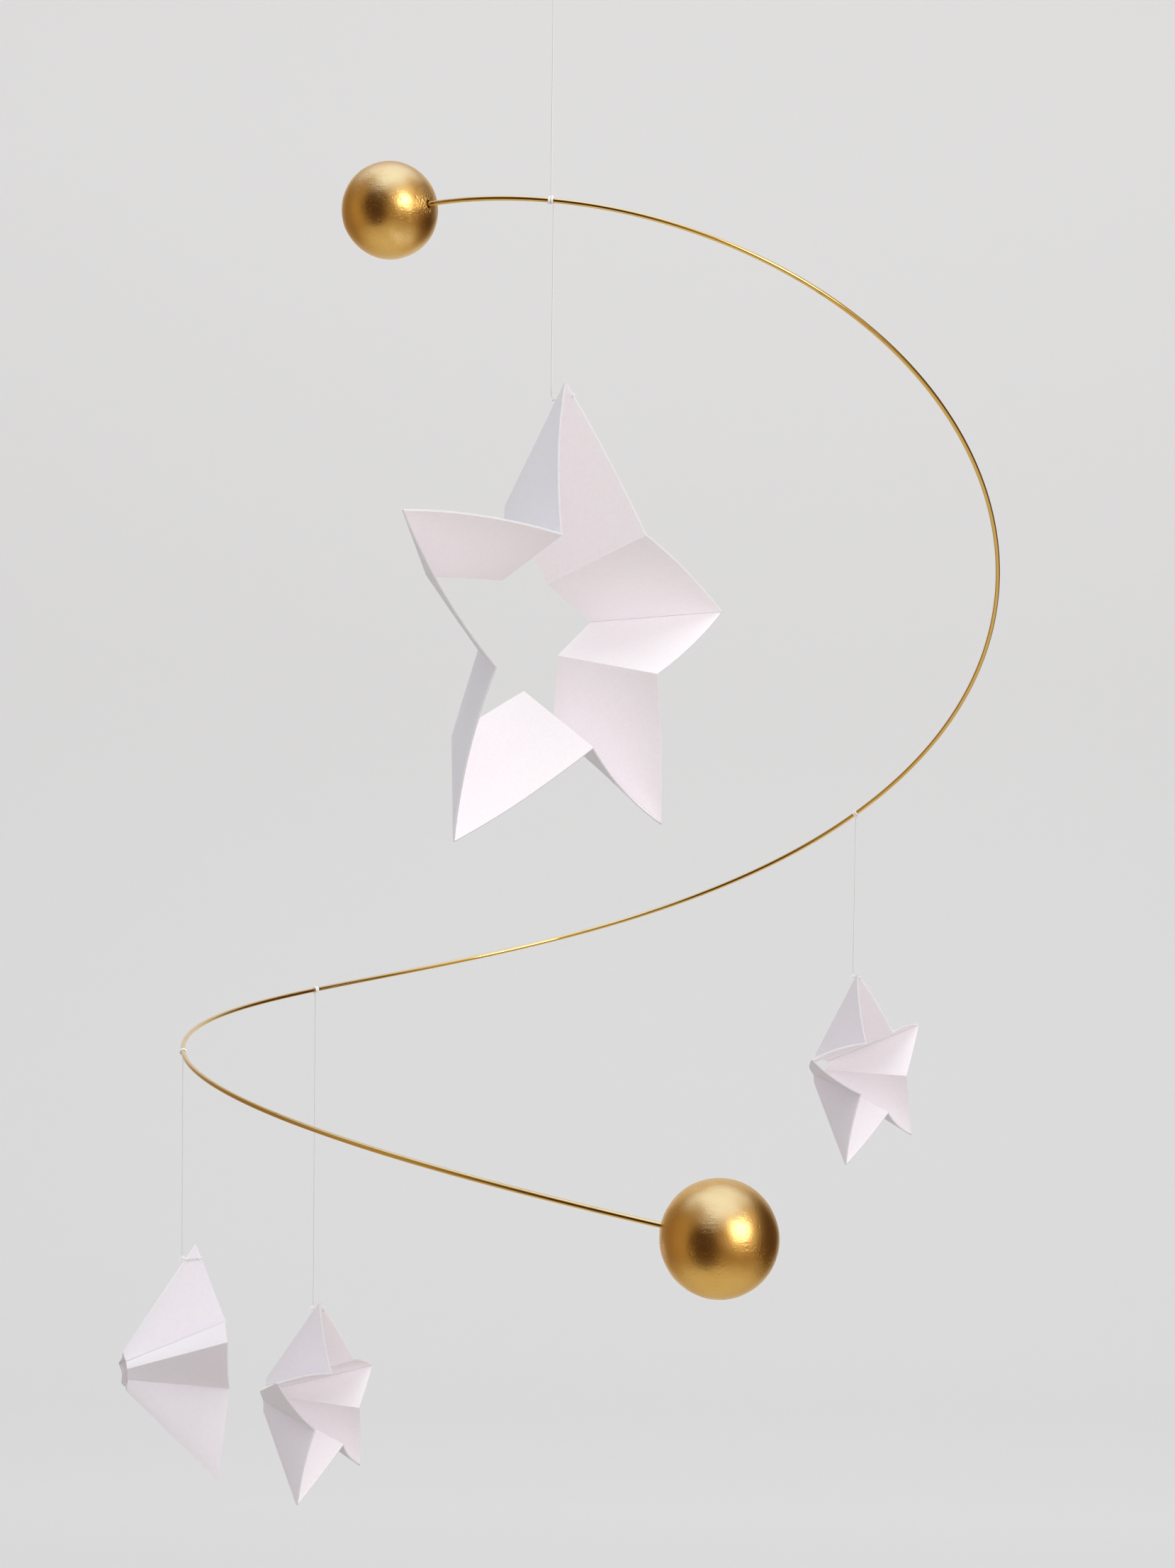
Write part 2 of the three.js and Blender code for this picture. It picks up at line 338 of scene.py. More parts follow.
def smooth_course(points: Sequence[Vector], step: float, closed: bool = False) -> list[Vector]:
    """Rounds a few chosen points into a smooth course (a Catmull-Rom curve).

    Args:
        points: The chosen points in metres.
        step: Distance between two points of the course.
        closed: Whether the last point leads back to the first.

    Returns:
        The course's points.
    """
    count = len(points)
    course = []
    for i in range(count if closed else count - 1):
        near = [i - 1, i, i + 1, i + 2]
        near = [k % count if closed else min(max(k, 0), count - 1) for k in near]
        a, b, c, d = (points[k] for k in near)
        pieces = max(2, round((c - b).length / step))
        for j in range(pieces):
            t = j / pieces
            bend = (2 * a - 5 * b + 4 * c - d) * t**2 + (3 * b - a - 3 * c + d) * t**3
            course.append((2 * b + (c - a) * t + bend) / 2)
    course.append(points[0 if closed else -1].copy())
    return course


@dataclass(frozen=True)
class Tone:
    """A colour in linear light."""

    red: float
    green: float
    blue: float

    @property
    def rgba(self) -> tuple[float, float, float, float]:
        """The colour with full cover."""
        return (self.red, self.green, self.blue, 1.0)


class Nodes:
    """A small helper that lays out the nodes of a material or of the room's light."""

    def __init__(self, tree: bpy.types.NodeTree) -> None:
        """Starts with the tree that it fills, and empties it."""
        self.tree = tree
        self.tree.nodes.clear()

    def feed(self, socket: Socket, value: object) -> None:
        """Links an output to an input, or sets the input's own value.

        Args:
            socket: The input.
            value: The output, tone or value that goes into it.
        """
        if isinstance(value, Socket):
            self.tree.links.new(value, socket)
        else:
            socket.default_value = value.rgba if isinstance(value, Tone) else value

    def add(self, kind: str, links: dict | None = None, **settings: object) -> bpy.types.Node:
        """Adds a node.

        Args:
            kind: The node's type.
            links: Values, tones or outputs for its inputs, by name or number.
            **settings: Properties of the node.

        Returns:
            The node.
        """
        node = self.tree.nodes.new(kind)
        for key, value in settings.items():
            setattr(node, key, value)
        for key, value in (links or {}).items():
            self.feed(node.inputs[key], value)
        return node

    def between(
        self,
        value: Socket,
        low: float,
        high: float,
        to_low: float = 0.0,
        to_high: float = 1.0,
        kind: str = "LINEAR",
    ) -> Socket:
        """Stretches a value's range, held at both ends.

        Args:
            value: The value.
            low: Where the result is to_low.
            high: Where the result is to_high.
            to_low: Result at the low end.
            to_high: Result at the high end.
            kind: How it goes from one end to the other.

        Returns:
            The stretched value.
        """
        links = {"Value": value, "From Min": low, "From Max": high, "To Min": to_low, "To Max": to_high}
        return self.add("ShaderNodeMapRange", links, interpolation_type=kind).outputs["Result"]

    def math(self, operation: str, first: object, second: object) -> Socket:
        """Joins two values by the arithmetic that is named."""
        return self.add("ShaderNodeMath", {0: first, 1: second}, operation=operation).outputs["Value"]

    def vector_math(self, operation: str, first: object, second: object) -> Socket:
        """Joins two vectors into one value, by the operation that is named."""
        node = self.add("ShaderNodeVectorMath", {0: first, 1: second}, operation=operation)
        return node.outputs["Value"]

    def mixed(self, share: Socket, first: Tone | Socket, second: Tone | Socket) -> Socket:
        """Mixes two tones or colours, with a share of the second."""
        return self.add("ShaderNodeMix", {"Factor": share, 6: first, 7: second}, data_type="RGBA").outputs[2]


class MaterialNodes(Nodes):
    """Nodes of one material, read in the object's own coordinates."""

    def __init__(self, name: str) -> None:
        """Starts a material with a principled shader.

        Args:
            name: The material's name.
        """
        self.material = bpy.data.materials.new(name)
        self.material.use_nodes = True
        super().__init__(self.material.node_tree)
        output = self.add("ShaderNodeOutputMaterial")
        self.shader = self.add("ShaderNodeBsdfPrincipled")
        self.feed(output.inputs["Surface"], self.shader.outputs["BSDF"])
        self.place = self.add("ShaderNodeTexCoord").outputs["Object"]

    def scaled(self, scale: tuple[float, float, float], turn: tuple[float, float, float]) -> Socket:
        """Gives object coordinates stretched along each axis, and turned about each in radians."""
        links = {"Vector": self.place, "Scale": scale, "Rotation": turn}
        return self.add("ShaderNodeMapping", links).outputs["Vector"]

    def noise(self, scale: float, detail: float, rough: float = 0.5, place: Socket | None = None) -> Socket:
        """Gives soft noise.

        Args:
            scale: Features in a metre.
            detail: Octaves.
            rough: Strength of the finer octaves.
            place: Where it is read, or none for the object's own coordinates.

        Returns:
            The noise's value.
        """
        links = {"Vector": place or self.place, "Scale": scale, "Detail": detail, "Roughness": rough}
        return self.add("ShaderNodeTexNoise", links).outputs["Fac"]

    def relief(self, *layers: tuple[Socket, float, float]) -> Socket:
        """Lays relief over relief in the shading.

        Args:
            *layers: The relief from 0 to 1, its height in millimetres and the share that shows, lowest first.

        Returns:
            The bumped normal.
        """
        normal = {}
        for height, height_mm, strength in layers:
            links = {"Height": height, "Distance": height_mm * MM, "Strength": strength, **normal}
            normal = {"Normal": self.add("ShaderNodeBump", links).outputs["Normal"]}
        return normal["Normal"]

    def shade(self, **inputs: object) -> None:
        """Sets or links the shader's inputs, each named with _ for a space."""
        for key, value in inputs.items():
            self.feed(self.shader.inputs[key.replace("_", " ")], value)


@dataclass(frozen=True)
class PolishedBrass:
    """Bright lacquered brass, with dull spots and a fine grain."""

    bright: Tone = Tone(0.88, 0.63, 0.22)
    tarnish: Tone = Tone(0.6, 0.38, 0.12)
    spots_per_metre: float = 260.0

    def material(self) -> Material:
        """Makes the material."""
        nodes = MaterialNodes("polished_brass")
        cloud = nodes.noise(45, 4)
        speck = nodes.noise(self.spots_per_metre, 6, 0.7)
        fine = nodes.noise(2600, 2)
        dull = nodes.math("MULTIPLY", nodes.between(cloud, 0.5, 0.7), nodes.between(speck, 0.5, 0.64))
        polish = nodes.between(cloud, 0.3, 0.7, 0.04, 0.09)
        nodes.shade(
            Base_Color=nodes.mixed(dull, self.bright, self.tarnish),
            Metallic=1.0,
            Roughness=nodes.math("ADD", polish, nodes.math("MULTIPLY", dull, 0.25)),
            Normal=nodes.relief((speck, 0.03, 0.5), (fine, 0.006, 0.5)),
            Coat_Weight=0.7,
            Coat_Roughness=0.03,
        )
        return nodes.material


@dataclass(frozen=True)
class GoldPaint:
    """Satin gold paint brushed over turned wood: strokes, pits and a rough ring where the rod enters."""

    light: Tone = Tone(0.93, 0.63, 0.235)
    deep: Tone = Tone(0.84, 0.52, 0.165)
    rim: Tone = Tone(0.3, 0.17, 0.06)

    def material(self, name: str, hole: Vector) -> Material:
        """Makes the material for one ball.

        Args:
            name: The material's name.
            hole: Where the rod enters.

        Returns:
            The material.
        """
        nodes = MaterialNodes(name)
        distance = nodes.vector_math("DISTANCE", nodes.place, tuple(hole))
        near_hole = nodes.between(distance, 1.0 * MM, 5.5 * MM, 1.0, 0.0)
        edge = nodes.between(distance, 1.1 * MM, 1.7 * MM, 1.0, 0.0)
        cloud = nodes.noise(70, 3)
        patch = nodes.between(nodes.noise(110, 2), 0.44, 0.62)
        strokes = nodes.noise(1500, 3, 0.6, nodes.scaled((0.2, 1.0, 1.0), (0.3, 0.5, 0.9)))
        cross = nodes.noise(1300, 3, 0.6, nodes.scaled((1.0, 0.18, 1.0), (0.9, 0.2, 0.1)))
        lines = nodes.math("MAXIMUM", nodes.between(strokes, 0.54, 0.7), nodes.between(cross, 0.58, 0.72))
        ridges = nodes.math("MULTIPLY", lines, patch)
        grain = nodes.noise(1900, 4, 0.62)
        crumple = nodes.math("MULTIPLY", nodes.noise(1300, 4, 0.65), near_hole)
        paint = nodes.mixed(nodes.between(cloud, 0.3, 0.7), self.light, self.deep)
        satin = nodes.between(cloud, 0.3, 0.7, 0.24, 0.31)
        nodes.shade(
            Base_Color=nodes.mixed(edge, paint, self.rim),
            Metallic=1.0,
            Roughness=nodes.math("ADD", satin, nodes.math("MULTIPLY", ridges, 0.1)),
            Normal=nodes.relief(
                (cloud, 0.25, 0.35), (ridges, 0.06, 0.5), (crumple, 0.5, 0.9), (grain, 0.045, 0.5)
            ),
        )
        return nodes.material


@dataclass(frozen=True)
class FoldedPaper:
    """Heavy white drawing paper with a fine tooth. Its inside is painted warmer and brighter than its outside
    (painted bounce light inside, painted shade outside), with a painted highlight along each fold and a
    painted-shade cut edge.
    """

    name: str
    # Greyer, cooler outside: painted shade on the outer faces of the white paper.
    outside_painted_shade: Tone
    # Warmer, brighter inside: painted bounce light inside the hollow star.
    inside: Tone = Tone(0.905, 0.87, 0.895)
    # Lighter line along each fold: a painted highlight.
    painted_fold_highlight: Tone = Tone(0.93, 0.92, 0.92)
    # Greyer middle of each cut edge: painted shade that tones down the lit paper edge.
    cut_edge_painted_shade: Tone = Tone(0.64, 0.635, 0.64)
    fibre: Tone = Tone(0.6, 0.56, 0.55)

    def material(self) -> Material:
        """Makes the material, read from the paper's own side and crease attributes."""
        nodes = MaterialNodes(self.name)
        side = nodes.add("ShaderNodeAttribute", attribute_name="inside").outputs["Fac"]
        crease = nodes.add("ShaderNodeAttribute", attribute_name="crease").outputs["Fac"]
        fibres = nodes.noise(900, 5, 0.65)
        tooth = nodes.noise(3400, 3, 0.6)
        wave = nodes.noise(34, 2)
        across_rim = nodes.math("MINIMUM", side, nodes.math("SUBTRACT", 1.0, side))
        # Painted bounce light on the inner faces, painted shade on the outer ones.
        colour = nodes.mixed(side, self.outside_painted_shade, self.inside)
        for share, tone in (
            # painted highlight along each fold
            (nodes.math("MULTIPLY", crease, 0.4), self.painted_fold_highlight),
            # painted shade on the cut edge
            (nodes.between(across_rim, 0.03, 0.2), self.cut_edge_painted_shade),
            (nodes.between(fibres, 0.35, 0.7, 0.0, 0.1), self.fibre),
        ):
            colour = nodes.mixed(share, colour, tone)
        nodes.shade(
            Base_Color=colour,
            Roughness=0.88,
            Subsurface_Weight=0.8,
            Subsurface_Scale=0.5 * MM,
            Subsurface_Radius=(1.0, 0.92, 0.9),
            Specular_IOR_Level=0.25,
            Normal=nodes.relief((wave, 0.5, 0.15), (fibres, 0.03, 0.5), (tooth, 0.02, 0.6)),
        )
        return nodes.material


@dataclass(frozen=True)
class CottonThread:
    """Twisted white cotton, a little fuzzy, with a soft sheen."""

    name: str
    pale: Tone
    shadow: Tone

    def material(self) -> Material:
        """Makes the material."""
        nodes = MaterialNodes(self.name)
        fuzz = nodes.noise(9000, 3, 0.6)
        slub = nodes.noise(700, 2)
        colour = nodes.mixed(nodes.between(fuzz, 0.3, 0.75), self.pale, self.shadow)
        colour = nodes.mixed(nodes.between(slub, 0.55, 0.8, 0.0, 0.4), colour, self.pale)
        normal = nodes.relief((fuzz, 0.04, 0.7))
        nodes.shade(Base_Color=colour, Roughness=0.92, Sheen_Weight=0.3, Normal=normal)
        return nodes.material


# The taut threads are a greyer copy of the same white cotton as the wound thread: painted shade for thin
# thread lit from behind.
TAUT_COTTON_PAINTED_SHADE = CottonThread("taut_cotton_thread_painted_shade", Tone(0.89, 0.89, 0.89), Tone(0.78, 0.775, 0.77))
WOUND_COTTON = CottonThread("wound_cotton_thread", Tone(0.98, 0.98, 0.98), Tone(0.91, 0.905, 0.905))
# Both outside tones are the white paper greyed as painted shade on the outer faces.
LARGE_PAPER = FoldedPaper("large_star_paper", Tone(0.84, 0.84, 0.88))
SMALL_PAPER = FoldedPaper("small_star_paper", Tone(0.86, 0.83, 0.87))


@dataclass
class Threads:
    """The five straight threads, held taut by what hangs on them."""

    material: Material
    strand: Section = field(default_factory=lambda: thread_section(sides=12, ply_depth=0.2))
    step: float = 0.25 * MM
    route_points: int = 16

    def straight(self, node: str, body: str, name: str, ends_above: bool) -> None:
        """Makes one taut thread in the place of its solid.

        Args:
            node: The solid that it stands for.
            body: The body that it moves with.
            name: The piece's name.
            ends_above: Whether its far end is the upper one.
        """
        low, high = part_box(node)
        middle = middle_of(node)
        top = Vector((middle.x, middle.y, high[2]))
        bottom = Vector((middle.x, middle.y, low[2]))
        first, last = (bottom, top) if ends_above else (top, bottom)
        length = (last - first).length
        fine = max(2, round(length / self.step))
        bm = bmesh.new()
        self.strand.swept(bm, [first.lerp(last, i / fine) for i in range(fine + 1)])
        piece = add_piece(name, bm, node, body, self.material)
        log.info("%s is %.1f mm long", name, length / MM)

    def build(self) -> None:
        """Makes all five threads."""
        self.straight("hanging_thread", "hanger", "hanging_thread_line", True)
        for star in ("large", "right", "middle", "left"):
            self.straight(f"{star}_star_thread", f"{star}_star_body", f"{star}_star_line", False)


@dataclass
class Knots:
    """Everything that is wound or knotted: the top loop, the ties on the rod and the nooses on the stars.

    Attributes:
        spiral: The rod's course.
        material: The thread's finish.
        strand: The full thread's section.
        step: Distance between two points of a strand's course.
        loop_knot, tie_knot, star_knot: Radius of each kind of knot.
        tie_strand_radius: Radius of the pulled thread in a tie.
        tie_places: Where a tie's turns lie along the rod, from its middle.
        crossing: Share of a turn in which the thread crosses to the next place.
    """

    spiral: Spiral
    material: Material
    strand: Section = field(default_factory=thread_section)
    step: float = 0.12 * MM
    loop_knot: float = 0.55 * MM
    tie_knot: float = 0.36 * MM
    star_knot: float = 0.52 * MM
    tie_strand_radius: float = 0.2 * MM
    tie_places: tuple[float, ...] = (-0.6 * MM, -0.26 * MM, 0.26 * MM, 0.6 * MM)
    crossing: float = 0.16

    def finish(self, bm: BMesh, name: str, body: str, node: str) -> None:
        """Makes a piece of wound thread that rides on a body and stands for a solid."""
        add_piece(name, bm, node, body, self.material)
        log.info("%s made", name)

    def overhand(self, centre: Vector, size: float, turn: Quaternion) -> list[Vector]:
        """Gives the course of a small pulled knot (a trefoil pressed into a bead).

        Args:
            centre: The knot's middle.
            size: Its radius.
            turn: How it lies.

        Returns:
            The course's points, closed.
        """
        points, widest = 48, 3.4
        course = []
        for i in range(points):
            angle = math.tau * i / (points - 1)
            lobe = Vector((
                math.sin(angle) + 2 * math.sin(2 * angle),
                math.cos(angle) - 2 * math.cos(2 * angle),
                -1.6 * math.sin(3 * angle),
            ))
            course.append(centre + turn @ lobe * (size / widest))
        return course

    def build_hanging_loop(self) -> None:
        """Makes the loop for a hook, its knot and two short cut ends."""
        low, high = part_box("hanging_loop")
        half_width = (high[0] - low[0]) / 2 - THREAD_RADIUS
        top = high[2] - 1.5 * THREAD_RADIUS
        knot_height = low[2] + 0.7 * MM
        height = top - knot_height
        points = 72
        loop = []
        for i in range(points + 1):
            angle = math.tau * i / points
            narrow = 0.72 + 0.28 * math.sin(angle)
            loop.append(Vector((
                half_width * math.cos(angle) * narrow,
                0.12 * MM * math.sin(2 * angle),
                knot_height + height / 2 * (1 + math.sin(angle)),
            )))
        bm = bmesh.new()
        self.strand.swept(bm, loop)
        centre = Vector((0, 0, knot_height))
        fine = thread_section(0.8)
        fine.swept(bm, self.overhand(centre, self.loop_knot, Quaternion((1, 0, 0), math.radians(70))))
        for side in (-1, 1):
            end = steps_from(
                centre,
                (side * 0.5, side * 0.25, -0.15),
                (side * 1.2, side * 0.35, -0.1),
                (side * 1.9, side * 0.2, 0.25),
            )
            fine.swept(bm, smooth_course(end, self.step))
        self.finish(bm, "hook_loop", "hanger", "hanging_loop")

    def tie_shift(self, turns: float) -> float:
        """Gives how far along the rod the thread of a tie lies.

        Args:
            turns: Turns round the rod so far.

        Returns:
            Distance from the tie's middle.
        """
        shift = self.tie_places[0]
        for k in range(1, len(self.tie_places)):
            crossed = min(max((turns - k + self.crossing / 2) / self.crossing, 0.0), 1.0)
            shift += (self.tie_places[k] - self.tie_places[k - 1]) * (3 * crossed**2 - 2 * crossed**3)
        return shift

    def build_tie(self, node: str, turned_deg: float, tail_angle_deg: float) -> None:
        """Makes a tie: two pairs of turns round the rod, crossed and knotted, with a short cut end.

        Args:
            node: The solid that it stands for.
            turned_deg: Where it is on the rod.
            tail_angle_deg: Where round the rod its knot and cut end are, from straight up.
        """
        along = self.spiral.direction(turned_deg)
        centre = middle_of(node)
        up = (STRAIGHT_UP - along * along.z).normalized()
        side = along.cross(up)
        radius = ROD_RADIUS + self.tie_strand_radius

        def around(angle: float, shift: float, lift: float = 0.0) -> Vector:
            """Gives a point at an angle from straight up, a shift along the rod and a lift off it."""
            outward = up * math.cos(angle) + side * math.sin(angle)
            return centre + along * shift + outward * (radius + lift)

        start = math.radians(tail_angle_deg)
        turns = len(self.tie_places)
        steps = 72 * turns
        winding = []
        for i in range(steps + 1):
            wound = turns * i / steps
            winding.append(around(start + math.tau * wound, self.tie_shift(wound)))
        bm = bmesh.new()
        strand = Section(self.tie_strand_radius, sides=10, plies=3, ply_depth=0.25)
        strand.swept(bm, winding)
        over = [
            around(start, self.tie_places[0]),
            around(start + 0.15, self.tie_places[1], 0.24 * MM),
            around(start, 0.0, 0.3 * MM),
            around(start - 0.15, self.tie_places[2], 0.24 * MM),
            around(start, self.tie_places[3]),
        ]
        strand.swept(bm, smooth_course(over, self.step))
        outward = up * math.cos(start) + side * math.sin(start)
        lie = STRAIGHT_UP.rotation_difference(outward)
        knot_place = around(start, 0.1 * MM, 0.28 * MM)
        fine = thread_section(0.75)
        fine.swept(bm, self.overhand(knot_place, self.tie_knot, lie))
        tail = [
            knot_place,
            knot_place + outward * 0.3 * MM + along * 0.5 * MM,
            knot_place + outward * 0.45 * MM + along * 1.1 * MM,
        ]
        fine.swept(bm, smooth_course(tail, self.step))
        self.finish(bm, node + "_winding", "arm", node)

    def build_noose(self, star: "Star") -> None:
        """Makes the doubled thread that holds a star by its top tip, and the knot on its back fold.

        Args:
            star: The star that it holds.
        """
        bm = bmesh.new()
        doubled = thread_section(0.8, sides=8)
        doubled.swept(bm, smooth_course(star.noose_points(doubled.radius), self.step, closed=True))
        centre = star.knot_centre
        pulled = thread_section(0.85)
        pulled.swept(bm, self.overhand(centre, self.star_knot, Quaternion((1, 0, 0), math.radians(60))))
        tail = steps_from(centre, (-0.5, -0.3, -0.2), (-1.0, -0.5, -0.75))
        pulled.swept(bm, smooth_course(tail, self.step))
        up_to_thread = [*steps_from(centre, (0, 0, 0.55)), star.thread_end]
        self.strand.swept(bm, smooth_course(up_to_thread, self.step))
        self.finish(bm, f"{star.name}_noose", f"{star.name}_body", f"{star.name}_knot")

    def build(self, stars: Sequence["Star"]) -> None:
        """Makes every loop, tie and knot.

        Args:
            stars: The stars that hang on them.
        """
        self.build_hanging_loop()
        self.build_tie("main_tie", self.spiral.main_tie_deg, 0.0)
        for star in stars:
            if star.tie:
                self.build_tie(star.tie, star.tie_deg, 180.0)
            self.build_noose(star)


@dataclass
class Rod:
    """The thick brass rod bent into a falling spiral.

    Attributes:
        spiral: Its course.
        material: Its finish.
        steps: How many lengths it is made of.
        insertion: How far it runs into each ball.
        sides: Corners round its section.
        end_taper: Share of its radius at both ends.
    """

    spiral: Spiral
    material: Material
    steps: int = 700
    insertion: float = 7.5 * MM
    sides: int = 20
    end_taper: float = 0.92

    def build(self) -> None:
        """Makes the rod, straight where it runs inside the balls, with softly rounded ends."""
        sweep = self.spiral.sweep_deg
        start, end = self.spiral.point(0), self.spiral.point(sweep)
        into_upper = self.spiral.direction(0) * -self.insertion
        into_lower = self.spiral.direction(sweep) * self.insertion
        course = [start + into_upper, start + into_upper * 0.5]
        course += [self.spiral.point(sweep * i / self.steps) for i in range(self.steps + 1)]
        course += [end + into_lower * 0.5, end + into_lower]
        bm = bmesh.new()
        Section(ROD_RADIUS, sides=self.sides).swept(bm, course, taper=self.end_taper)
        add_piece("bent_brass_rod", bm, "spiral_wire", "arm", self.material)
        log.info("rod made of %d steps", self.steps)


@dataclass
class Ball:
    """A turned wooden ball with a drilled hole, painted gold.

    Attributes:
        side: The end of the rod that it sits on.
        spiral: The rod's course.
        seed: Shifts its dents, so that the two balls differ.
        bore_radius, bore_depth: Size of the hole.
        bore_narrowing: Share of the hole's radius below its softened mouth.
        rim_softness: How far down the softened mouth reaches.
        painted_share: Share of the ball's radius past which the surface is painted.
        rings, segments: How finely it is turned.
        broad_mm, fine_mm: Height of its soft unevenness.
        stroke_scale: Brush strokes in a metre along each axis.
        stroke_mm, dent_mm: Height of a brush stroke and depth of a dent.
        lip_place, lip_width: Where the paint is raised round the hole, and how widely.
    """

    side: Side
    spiral: Spiral
    seed: float
    bore_radius: float = 1.05 * MM
    bore_depth: float = 8.0 * MM
    bore_narrowing: float = 0.94
    rim_softness: float = 0.35 * MM
    painted_share: float = 0.97
    rings: int = 200
    segments: int = 340
    broad_mm: float = 0.09
    fine_mm: float = 0.03
    stroke_scale: tuple[float, float, float] = (300, 2000, 900)
    stroke_mm: float = 0.07
    dent_mm: float = 0.25
    lip_place: float = 2.0 * MM
    lip_width: float = 1.3 * MM

    def build(self) -> None:
        """Spins the ball's outline about the rod's line, dents it and paints it."""
        turned = 0.0 if self.side is Side.UPPER else self.spiral.sweep_deg
        end = self.spiral.point(turned)
        outward = self.spiral.direction(turned) * self.side.value
        centre = end + outward * BALL_RADIUS
        bm = bmesh.new()
        verts = [bm.verts.new(Vector((x, 0, z))) for x, z in self.outline()]
        edges = [bm.edges.new(pair) for pair in zip(verts, verts[1:])]
        bmesh.ops.spin(
            bm,
            geom=verts + edges,
            cent=(0, 0, 0),
            axis=(0, 0, 1),
            angle=math.tau,
            steps=self.segments,
            use_merge=True,
        )
        bmesh.ops.remove_doubles(bm, verts=bm.verts[:], dist=1e-6)
        for vert in bm.verts:
            if vert.co.length > BALL_RADIUS * self.painted_share:
                vert.co *= 1 + self.relief(vert.co) / BALL_RADIUS
        turn = STRAIGHT_UP.rotation_difference(-outward).to_matrix().to_4x4()
        bmesh.ops.transform(bm, matrix=Matrix.Translation(centre) @ turn, verts=bm.verts[:])
        name = self.side.name.lower()
        paint = GoldPaint().material(f"{name}_ball_paint", end)
        add_piece(f"{name}_gold_ball", bm, f"{name}_ball", "arm", paint)
        log.info("%s ball at %s mm", name, [round(v / MM, 1) for v in centre])

    def outline(self) -> list[tuple[float, float]]:
        """Gives half of the ball's outline, from the far pole to the bottom of its hole."""
        mouth = math.acos(self.bore_radius / BALL_RADIUS)
        points = []
        for i in range(self.rings + 1):
            angle = -math.pi / 2 + (math.pi / 2 + mouth) * i / self.rings
            points.append((0.0 if i == 0 else BALL_RADIUS * math.cos(angle), BALL_RADIUS * math.sin(angle)))
        inner = self.bore_radius * self.bore_narrowing
        bottom = BALL_RADIUS - self.bore_depth
        points.append((inner, BALL_RADIUS * math.sin(mouth) - self.rim_softness))
        return [*points, (inner, bottom), (0.0, bottom)]

    def relief(self, place: Vector) -> float:
        """Gives the height of the paint and of small dents at a point.

        Args:
            place: The point about the ball's centre, with the hole along +Z.

        Returns:
            Height in metres.
        """
        shift = Vector((self.seed, self.seed * 0.7, -self.seed))
        broad = noise.noise(place * 130 + shift) * self.broad_mm
        fine = noise.noise(place * 330 - shift) * self.fine_mm
        along, across, up = self.stroke_scale
        stroke_place = Vector((place.x * along, place.y * across, place.z * up)) + shift
        stroke = max(0.0, noise.noise(stroke_place) - 0.2) * self.stroke_mm
        patch = max(0.0, noise.noise(place * 210 - shift) * 1.6)
        dent = max(0.0, noise.noise(place * 900 + shift * 3) - 0.55) * self.dent_mm
        from_hole = (place - Vector((0, 0, BALL_RADIUS))).length
        lip = math.exp(-(((from_hole - self.lip_place) / self.lip_width) ** 2))
        skin = lip * (0.05 + 0.16 * noise.noise(place * 1500 - shift))
        return (broad + fine + stroke * patch - dent + skin) * MM


@dataclass(frozen=True)
class StarPattern:
    """The size of a folded star, in millimetres."""

    tip_reach: float
    notch_reach: float
    tip_setback: float
    rear_tip_reach: float
    rear_notch_reach: float
    rear_tip_depth: float
    rear_notch_depth: float
    rear_drop: float


LARGE_PATTERN = StarPattern(
    tip_reach=76,
    notch_reach=35.6,
    tip_setback=10.4,
    rear_tip_reach=38.5,
    rear_notch_reach=18.7,
    rear_tip_depth=36.3,
    rear_notch_depth=29.8,
    rear_drop=2.5,
)
SMALL_PATTERN = StarPattern(
    tip_reach=38.3,
    notch_reach=16.3,
    tip_setback=6.1,
    rear_tip_reach=6.1,
    rear_notch_reach=4.2,
    rear_tip_depth=30.3,
    rear_notch_depth=29.9,
    rear_drop=0.0,
)


@dataclass(frozen=True)
class Fold:
    """One fold of a star, from its front rim to its rear rim, in the star's own frame."""

    front: Vector
    rear: Vector


